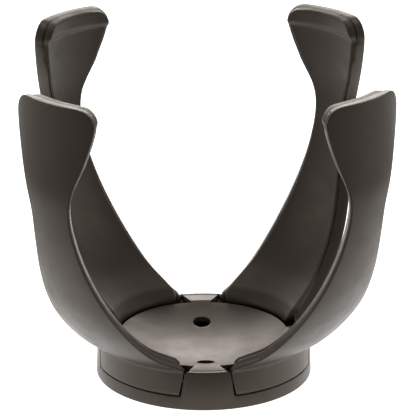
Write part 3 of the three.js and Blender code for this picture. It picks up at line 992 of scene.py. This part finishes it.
class HOLDER_OT_hinge_hardware(HolderPieceOperator, bpy.types.Operator):
    """Model the hinge pins and friction washers and finish the cover screws"""
    bl_idname = "holder.hinge_hardware"
    bl_label = "Hinge hardware"

    def execute(self, context):
        hinge = (arm_sizes().hinge_radius / MM, arm_sizes().hinge_height / MM)
        near, far = WASHER_FACES
        pin = cylinder("pin", PIN_RADIUS, -PIN_REACH, PIN_REACH, hinge, lying=True)
        rounded(pin, 0.25 * MM, 2)
        shaded(pin)
        ring = cylinder("ring", WASHER_RADIUS, near, far, hinge, lying=True)
        combined(ring, cylinder("bore", BORE_RADIUS, 15.0, 17.0, hinge, lying=True), "DIFFERENCE")
        rounded(ring, 0.08 * MM, 2)
        shaded(ring)
        for place, (azimuth, _) in ARM_PLACES.items():
            turned_to = Matrix.Rotation(math.radians(azimuth), 4, "Z")
            piece = copy_of(pin, f"pin_{place}", turned_to)
            hand_over(piece, "steel", "steel", "base", f"hinge_pin_{place}")
            for mark, shift in (("a", -(near + far)), ("b", 0.0)):
                matrix = turned_to @ Matrix.Translation((0.0, shift * MM, 0.0))
                piece = copy_of(ring, f"washer_{place}_{mark}", matrix)
                hand_over(piece, "steel", "steel", "base", f"friction_washer_{place}_{mark}")
            painted(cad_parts[f"cover_screw_{place}"], "steel")
        bpy.data.objects.remove(pin)
        bpy.data.objects.remove(ring)
        return {"FINISHED"}


def soft_box(name, location, target, size, energy):
    nothing_selected()
    bpy.ops.object.light_add(type="AREA", location=location)
    lamp = bpy.context.object
    lamp.name = name
    lamp.data.shape = "RECTANGLE"
    lamp.data.size, lamp.data.size_y = size
    lamp.data.energy = energy
    lamp.data.color = LAMP_COLOUR
    aim = Vector(target) - Vector(location)
    lamp.rotation_euler = aim.to_track_quat("-Z", "Y").to_euler()


def pool(tree, place, middle, radii, edge, outside, inside):
    """A value that changes across an ellipse on the floor, blended over a share of its radius."""
    shift = tree.nodes.new("ShaderNodeMapping")
    shift.inputs["Location"].default_value = (-middle[0] / radii[0], -middle[1] / radii[1], 0.0)
    shift.inputs["Scale"].default_value = (1.0 / radii[0], 1.0 / radii[1], 1.0)
    ball = tree.nodes.new("ShaderNodeTexGradient")
    ball.gradient_type = "SPHERICAL"
    blend = tree.nodes.new("ShaderNodeMapRange")
    blend.interpolation_type = "SMOOTHSTEP"
    blend.inputs["From Max"].default_value = edge
    blend.inputs["To Min"].default_value = outside
    blend.inputs["To Max"].default_value = inside
    tree.links.new(place, shift.inputs["Vector"])
    tree.links.new(shift.outputs["Vector"], ball.inputs["Vector"])
    tree.links.new(ball.outputs["Fac"], blend.inputs["Value"])
    return blend.outputs["Result"]


class HOLDER_OT_stage(HolderPieceOperator, bpy.types.Operator):
    """Set up the floor, the soft lights and the camera"""
    bl_idname = "holder.stage"
    bl_label = "Stage"

    def execute(self, context):
        scene = context.scene
        nothing_selected()
        bpy.ops.mesh.primitive_plane_add(size=FLOOR_SIZE, location=(0, 0, FLOOR_LEVEL))
        floor = named(bpy.context.object, "floor")
        material, tree, shader, place = node_material("studio_floor")
        mottled(tree, shader, place, tuple(scene.holder_colours.floor), 3.0, 3.0, 0.01)
        shader.inputs["Roughness"].default_value = 0.9
        shader.inputs["Emission Color"].default_value = (1.0, 1.0, 1.0, 1.0)
        # Painted light: the floor's emission is a glowing pool times a painted shadow patch in front
        # of the base.
        lit = tree.nodes.new("ShaderNodeMath")
        lit.operation = "MULTIPLY"
        tree.links.new(pool(tree, place, *FLOOR_GLOW), lit.inputs[0])
        tree.links.new(pool(tree, place, *FLOOR_SHADE), lit.inputs[1])
        tree.links.new(lit.outputs["Value"], shader.inputs["Emission Strength"])
        floor.data.materials.append(material)

        world = bpy.data.worlds.new("studio")
        scene.world = world
        world.use_nodes = True
        sky = world.node_tree.nodes["Background"]
        sky.inputs["Color"].default_value = (1.0, 1.0, 1.0, 1.0)
        sky.inputs["Strength"].default_value = SKY_STRENGTH
        for name, lamp in LAMPS.items():
            soft_box(name, *lamp)

        elevation, azimuth = math.radians(CAMERA_ELEVATION), math.radians(CAMERA_AZIMUTH)
        level = math.cos(elevation)
        back = Vector((math.sin(azimuth) * level, -math.cos(azimuth) * level, math.sin(elevation)))
        right = Vector((math.cos(azimuth), math.sin(azimuth), 0.0))
        nothing_selected()
        bpy.ops.object.camera_add()
        camera = bpy.context.object
        camera.name = "camera"
        turn_to_view = Matrix((right, back.cross(right), back)).transposed().to_4x4()
        at = Vector((0.0, 0.0, CAMERA_HEIGHT * MM)) + right * CAMERA_SHIFT * MM
        at += back * CAMERA_DISTANCE * MM
        camera.matrix_world = Matrix.Translation(at) @ turn_to_view
        camera.data.sensor_width = 36.0
        camera.data.lens = CAMERA_LENS
        camera.data.clip_start = 0.01
        camera.data.clip_end = 50.0
        scene.camera = camera
        scene.view_settings.view_transform = "Standard"
        return {"FINISHED"}


class HOLDER_PT_panel(bpy.types.Panel):
    """Lists the holder's pieces and sizes"""
    bl_idname = "HOLDER_PT_panel"
    bl_label = "Rod holder"
    bl_space_type = "VIEW_3D"
    bl_region_type = "UI"
    bl_category = "Rod holder"

    def draw(self, context):
        for operator in OPERATORS:
            self.layout.operator(operator.bl_idname)
        scene = context.scene
        for group in (scene.holder_base, scene.holder_arms, scene.holder_colours):
            column = self.layout.column()
            for key in group.bl_rna.properties.keys():
                if key not in ("rna_type", "name"):
                    column.prop(group, key)


OPERATORS = (
    HOLDER_OT_stage, HOLDER_OT_housing, HOLDER_OT_dish_plate, HOLDER_OT_foot_pad, HOLDER_OT_arms,
    HOLDER_OT_grip_pads, HOLDER_OT_hinge_hardware,
)
CLASSES = (HolderBaseSizes, HolderArmSizes, HolderColours, *OPERATORS, HOLDER_PT_panel)


def register():
    for cls in CLASSES:
        bpy.utils.register_class(cls)
    bpy.types.Scene.holder_base = bpy.props.PointerProperty(type=HolderBaseSizes)
    bpy.types.Scene.holder_arms = bpy.props.PointerProperty(type=HolderArmSizes)
    bpy.types.Scene.holder_colours = bpy.props.PointerProperty(type=HolderColours)


def unregister():
    for name in ("holder_colours", "holder_arms", "holder_base"):
        delattr(bpy.types.Scene, name)
    for cls in reversed(CLASSES):
        bpy.utils.unregister_class(cls)


def main():
    register()
    bpy.ops.holder.stage()
    bpy.ops.holder.housing()
    bpy.ops.holder.dish_plate()
    bpy.ops.holder.foot_pad()
    bpy.ops.holder.arms()
    bpy.ops.holder.grip_pads()
    bpy.ops.holder.hinge_hardware()


if __name__ == "__main__":
    main()
